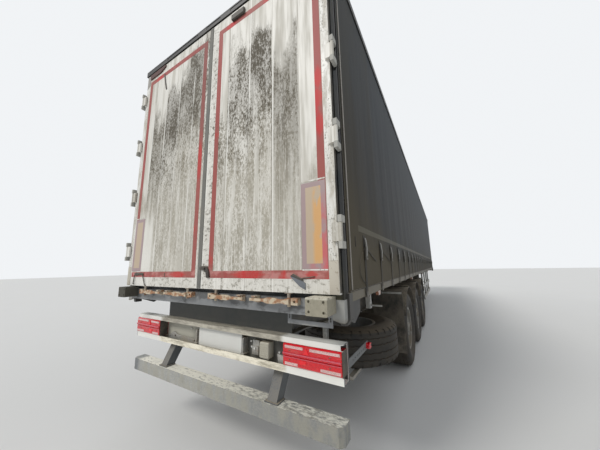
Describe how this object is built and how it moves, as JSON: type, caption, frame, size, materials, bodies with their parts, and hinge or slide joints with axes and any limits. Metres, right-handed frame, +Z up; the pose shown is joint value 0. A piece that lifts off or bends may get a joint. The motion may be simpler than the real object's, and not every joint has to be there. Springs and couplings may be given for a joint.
{
  "type": "semi trailer",
  "caption": "Curtain-sided road semi trailer with rear doors, landing legs, sprung axles on single tyres, underrun bar and a spare wheel.",
  "frame": {"origin": "on the ground under the middle of the trailer's overall box", "axes": "+X forward to the coupling end, +Y to the left side, +Z up"},
  "size_m": [13.91, 2.536, 3.9998],
  "materials": {
    "frame_steel": "dusty grey paint",
    "rail_steel": "dusty light grey paint",
    "galvanised": "weathered zinc",
    "door_white": "white paint under dirt",
    "curtain_grey": "coated fabric, slightly glossy",
    "roof_fabric": "coated fabric",
    "roof_alloy": "mill finish, dusty",
    "floor_wood": "worn coated plywood",
    "lamp_red": "ribbed lens",
    "lamp_amber": "plain lens",
    "tyre_rubber": "dusty rubber",
    "wheel_steel": "silver paint, dusty",
    "buffer_block": "dusty",
    "black_plastic": "dusty",
    "spring_rubber": "dull",
    "axle_black": "dusty black paint",
    "rusty_steel": "rusty",
    "bare_steel": "greasy machined steel"
  },
  "bodies": {
    "trailer": {"air_springs": "spring_rubber", "air_tanks": "axle_black", "axle_beams": "axle_black", "brake_chambers": "axle_black", "coupling_panel": "black_plastic", "coupling_plate": "frame_steel", "cross_members": "frame_steel", "curtain_left": "curtain_grey", "curtain_poles": "galvanised", "curtain_right": "curtain_grey", "dampers": "axle_black", "dock_buffers": "buffer_block", "door_catches": "rusty_steel", "front_wall": "door_white", "hanger_brackets": "frame_steel", "kingpin": "bare_steel", "landing_legs": "frame_steel", "light_bar": "galvanised", "load_floor": "floor_wood", "main_rails": "frame_steel", "marker_lamps": "lamp_amber", "mudguards": "black_plastic", "rear_header": "black_plastic", "rear_plate": "frame_steel", "rear_posts": "galvanised", "rear_sill": "galvanised", "roof_bows": "roof_alloy", "roof_cover": "roof_fabric", "roof_rails": "roof_alloy", "side_guards": "roof_alloy", "side_posts": "galvanised", "side_rails": "rail_steel", "spare_cradle": "galvanised", "spare_wheel": "tyre_rubber", "strap_buckles": "galvanised", "tail_lamps": "lamp_red", "trailing_arms": "axle_black", "underrun_arms": "galvanised", "underrun_bar": "galvanised"},
    "door_left": {"door_left_panel": "door_white", "door_left_hinges": "door_white", "door_left_locks": "rusty_steel", "door_left_bracket": "rusty_steel"},
    "door_right": {"door_right_panel": "door_white", "door_right_hinges": "door_white", "door_right_locks": "rusty_steel", "door_right_stop": "black_plastic"},
    "leg_feet": {"leg_feet": "galvanised"},
    "wheel_front_left": {"tyre_front_left": "tyre_rubber", "wheel_front_left": "wheel_steel"},
    "wheel_front_right": {"tyre_front_right": "tyre_rubber", "wheel_front_right": "wheel_steel"},
    "wheel_middle_left": {"tyre_middle_left": "tyre_rubber", "wheel_middle_left": "wheel_steel"},
    "wheel_middle_right": {"tyre_middle_right": "tyre_rubber", "wheel_middle_right": "wheel_steel"},
    "wheel_rear_left": {"tyre_rear_left": "tyre_rubber", "wheel_rear_left": "wheel_steel"},
    "wheel_rear_right": {"tyre_rear_right": "tyre_rubber", "wheel_rear_right": "wheel_steel"}
  },
  "joints": [
    {"name": "wheel_front_left_turn", "type": "hinge", "parent": "trailer", "child": "wheel_front_left", "pos_m": [-1.255, 1.02, 0.536], "axis": [0, 1, 0], "continuous": true},
    {"name": "wheel_front_right_turn", "type": "hinge", "parent": "trailer", "child": "wheel_front_right", "pos_m": [-1.255, -1.02, 0.536], "axis": [0, 1, 0], "continuous": true},
    {"name": "wheel_middle_left_turn", "type": "hinge", "parent": "trailer", "child": "wheel_middle_left", "pos_m": [-2.565, 1.02, 0.536], "axis": [0, 1, 0], "continuous": true},
    {"name": "wheel_middle_right_turn", "type": "hinge", "parent": "trailer", "child": "wheel_middle_right", "pos_m": [-2.565, -1.02, 0.536], "axis": [0, 1, 0], "continuous": true},
    {"name": "wheel_rear_left_turn", "type": "hinge", "parent": "trailer", "child": "wheel_rear_left", "pos_m": [-3.875, 1.02, 0.536], "axis": [0, 1, 0], "continuous": true},
    {"name": "wheel_rear_right_turn", "type": "hinge", "parent": "trailer", "child": "wheel_rear_right", "pos_m": [-3.875, -1.02, 0.536], "axis": [0, 1, 0], "continuous": true},
    {"name": "door_left_swing", "type": "hinge", "parent": "trailer", "child": "door_left", "pos_m": [-6.883, 1.256, 2.6], "axis": [0, 0, -1], "range_deg": [0, 270]},
    {"name": "door_right_swing", "type": "hinge", "parent": "trailer", "child": "door_right", "pos_m": [-6.883, -1.256, 2.6], "axis": [0, 0, 1], "range_deg": [0, 270]},
    {"name": "landing_legs_slide", "type": "slide", "parent": "trailer", "child": "leg_feet", "axis": [0, 0, 1], "range_m": [0, 0.4]}
  ]
}
